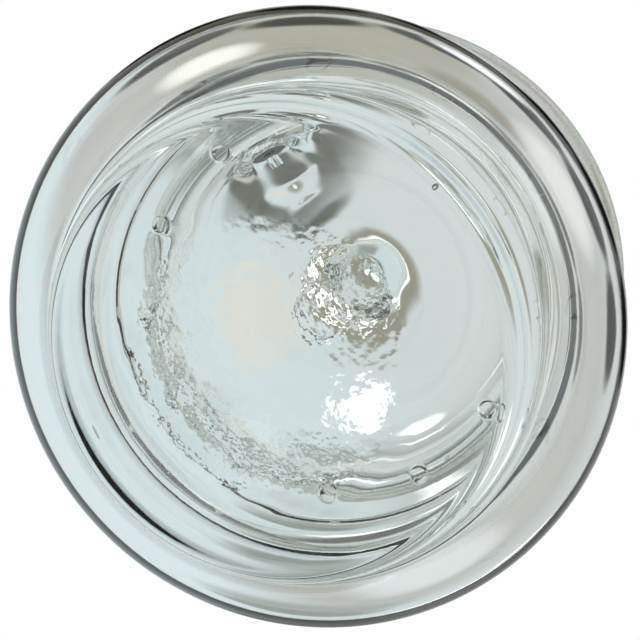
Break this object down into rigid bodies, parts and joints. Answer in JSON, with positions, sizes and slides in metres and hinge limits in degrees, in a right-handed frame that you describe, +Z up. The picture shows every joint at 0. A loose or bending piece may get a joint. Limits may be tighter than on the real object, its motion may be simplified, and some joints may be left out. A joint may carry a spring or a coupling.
{
  "type": "glass desiccator",
  "caption": "Round vacuum desiccator of thick clear glass: footed base with an inner seat and plate, greased flanges, domed lid with a knob, and a stopcock in the lid's side neck.",
  "frame": {"origin": "centre of the base's foot, on the plane that the foot stands on", "axes": "+Z up along the vessel's axis; +X along the lid's side neck, from the axis towards its mouth"},
  "size_m": [0.2847, 0.244, 0.2823],
  "materials": {
    "vessel_glass": "clear pressed glass, fire polished, with a faint green-grey tint",
    "plate_glass": "clear pressed glass",
    "tube_glass": "clear drawn glass",
    "key_glass": "clear glass with a ground plug",
    "grease": "translucent soft film",
    "stopper_rubber": "matt",
    "washer_plastic": "satin",
    "ring_rubber": "matt"
  },
  "bodies": {
    "base": {"base_bowl": "vessel_glass"},
    "seal": {"flange_grease": "grease"},
    "cover": {"lid": "vessel_glass"},
    "plate": {"perforated_plate": "plate_glass"},
    "bung": {"rubber_stopper": "stopper_rubber"},
    "barrel": {"stopcock_barrel": "tube_glass"},
    "key": {"stopcock_key": "key_glass", "keeper_washer": "washer_plastic", "keeper_ring": "ring_rubber"}
  },
  "joints": [
    {"name": "lid_slide", "type": "slide", "parent": "base", "child": "seal", "axis": [0, 1, 0], "range_m": [-0.1, 0.1]},
    {"name": "lid_lift", "type": "slide", "parent": "seal", "child": "cover", "axis": [0, 0, 1], "range_m": [0, 0.16]},
    {"name": "plate_lift", "type": "slide", "parent": "base", "child": "plate", "axis": [0, 0, 1], "range_m": [0, 0.066]},
    {"name": "stopper_pull", "type": "slide", "parent": "cover", "child": "bung", "axis": [1, 0, 0], "range_m": [0, 0.06]},
    {"name": "barrel_swivel", "type": "hinge", "parent": "bung", "child": "barrel", "pos_m": [0.14, 0, 0.1983], "axis": [1, 0, 0], "continuous": true},
    {"name": "key_turn", "type": "hinge", "parent": "barrel", "child": "key", "pos_m": [0.152, 0, 0.2293], "axis": [0, 1, 0], "continuous": true}
  ]
}
